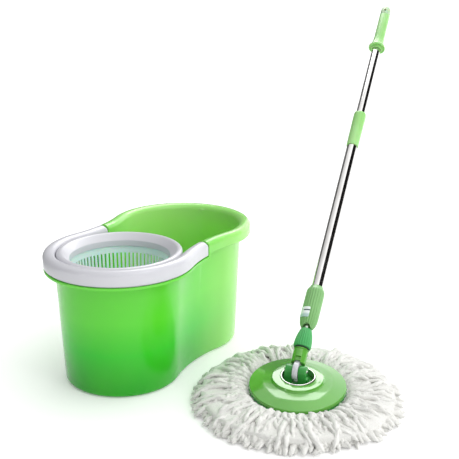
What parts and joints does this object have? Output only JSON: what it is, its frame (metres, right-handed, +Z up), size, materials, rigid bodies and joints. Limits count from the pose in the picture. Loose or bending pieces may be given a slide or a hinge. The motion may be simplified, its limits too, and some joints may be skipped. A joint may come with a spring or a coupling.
{
  "type": "spin mop with bucket",
  "caption": "Figure-eight mop bucket with a spinning wringer basket and fold-up handle, beside a telescopic tilting mop whose pole is pumped to spin its microfibre head.",
  "frame": {"origin": "middle of the flat underside of the bucket, on the floor", "axes": "+Z up, +Y from the basket lobe to the water lobe, +X from the bucket towards the mop"},
  "size_m": [0.6271, 0.7827, 0.611],
  "materials": {
    "bucket_green": "glossy slightly translucent moulded polypropylene",
    "white_plastic": "satin white moulding",
    "basket_plastic": "translucent pale mint moulding",
    "plate_green": "glossy moulding",
    "yoke_green": "satin moulding",
    "nut_green": "satin ribbed moulding",
    "sleeve_green": "satin ribbed moulding",
    "light_green": "satin moulding",
    "cap_plastic": "pale translucent moulding",
    "nylon": "natural nylon",
    "polished_steel": "polished",
    "tube_steel": "mirror-polished drawn tube",
    "seal_rubber": "matt dark ring",
    "microfibre": "fluffy white looped microfibre",
    "blank_label": "blank sticker"
  },
  "bodies": {
    "bucket": {"bucket_tub": "bucket_green", "basket_ring": "white_plastic", "handle_pin_left": "polished_steel", "handle_pin_right": "polished_steel", "axle_post": "bucket_green", "basket_axle": "polished_steel", "basket_thrust_washer": "polished_steel"},
    "carry_handle": {"carry_handle": "white_plastic"},
    "spin_basket": {"spin_basket": "basket_plastic", "basket_hub": "bucket_green", "hub_bush": "nylon", "hub_cap": "white_plastic"},
    "mop_head": {"mop_cover": "plate_green", "steel_ring": "polished_steel", "strand_carrier": "yoke_green", "mop_strands": "microfibre"},
    "yoke": {"swivel_yoke": "yoke_green", "tilt_pin": "polished_steel", "yoke_washer": "polished_steel", "yoke_screw": "polished_steel"},
    "neck": {"tilt_tongue": "white_plastic", "pole_neck": "plate_green", "neck_pin": "polished_steel", "neck_seal": "seal_rubber", "pole_nut": "nut_green", "spindle_ferrule": "polished_steel", "twist_bar": "polished_steel", "bar_stop": "polished_steel"},
    "press_carriage": {"thrust_washer": "polished_steel"},
    "lower_pole": {"drive_sleeve": "sleeve_green", "drive_nut": "nylon", "lower_tube": "tube_steel", "lock_collet": "nylon", "sleeve_label": "blank_label"},
    "collar": {"lock_collar": "light_green"},
    "upper_pole": {"upper_tube": "tube_steel", "tube_end_ring": "nylon", "grip": "light_green", "grip_cap": "cap_plastic"}
  },
  "joints": [
    {"name": "handle_lift", "type": "hinge", "parent": "bucket", "child": "carry_handle", "pos_m": [0, -0.0095, 0.2225], "axis": [-1, 0, 0], "range_deg": [0, 85]},
    {"name": "basket_spin", "type": "hinge", "parent": "bucket", "child": "spin_basket", "pos_m": [0, -0.099, 0.11], "axis": [0, 0, 1], "continuous": true},
    {"name": "mop_lift", "type": "slide", "parent": "bucket", "child": "neck", "axis": [0, 0, 1], "range_m": [0, 0.3]},
    {"name": "yoke_tilt", "type": "hinge", "parent": "neck", "child": "yoke", "pos_m": [0.31562, -0.05765, 0.05745], "axis": [-0.9847, -0.1701, 0.0378], "range_deg": [-19, 128]},
    {"name": "head_swivel", "type": "hinge", "parent": "yoke", "child": "mop_head", "pos_m": [0.3174, -0.0546, 0.033], "axis": [0.0558, -0.1025, 0.9932], "continuous": true},
    {"name": "pole_press", "type": "slide", "parent": "neck", "child": "press_carriage", "axis": [-0.1015, 0.7362, 0.6691], "range_m": [0, 0.12]},
    {"name": "pole_spin", "type": "hinge", "parent": "press_carriage", "child": "lower_pole", "pos_m": [0.31562, -0.05765, 0.05745], "axis": [-0.1015, 0.7362, 0.6691], "range_deg": [0, 540.1]},
    {"name": "collar_twist", "type": "hinge", "parent": "lower_pole", "child": "collar", "pos_m": [0.31562, -0.05765, 0.05745], "axis": [-0.1015, 0.7362, 0.6691], "range_deg": [0, 60]},
    {"name": "pole_telescope", "type": "slide", "parent": "lower_pole", "child": "upper_pole", "axis": [-0.1015, 0.7362, 0.6691], "range_m": [0, 0.22]}
  ],
  "couplings": [
    {"joint": "pole_spin", "follows": "pole_press", "rad_per_m": 78.54}
  ]
}
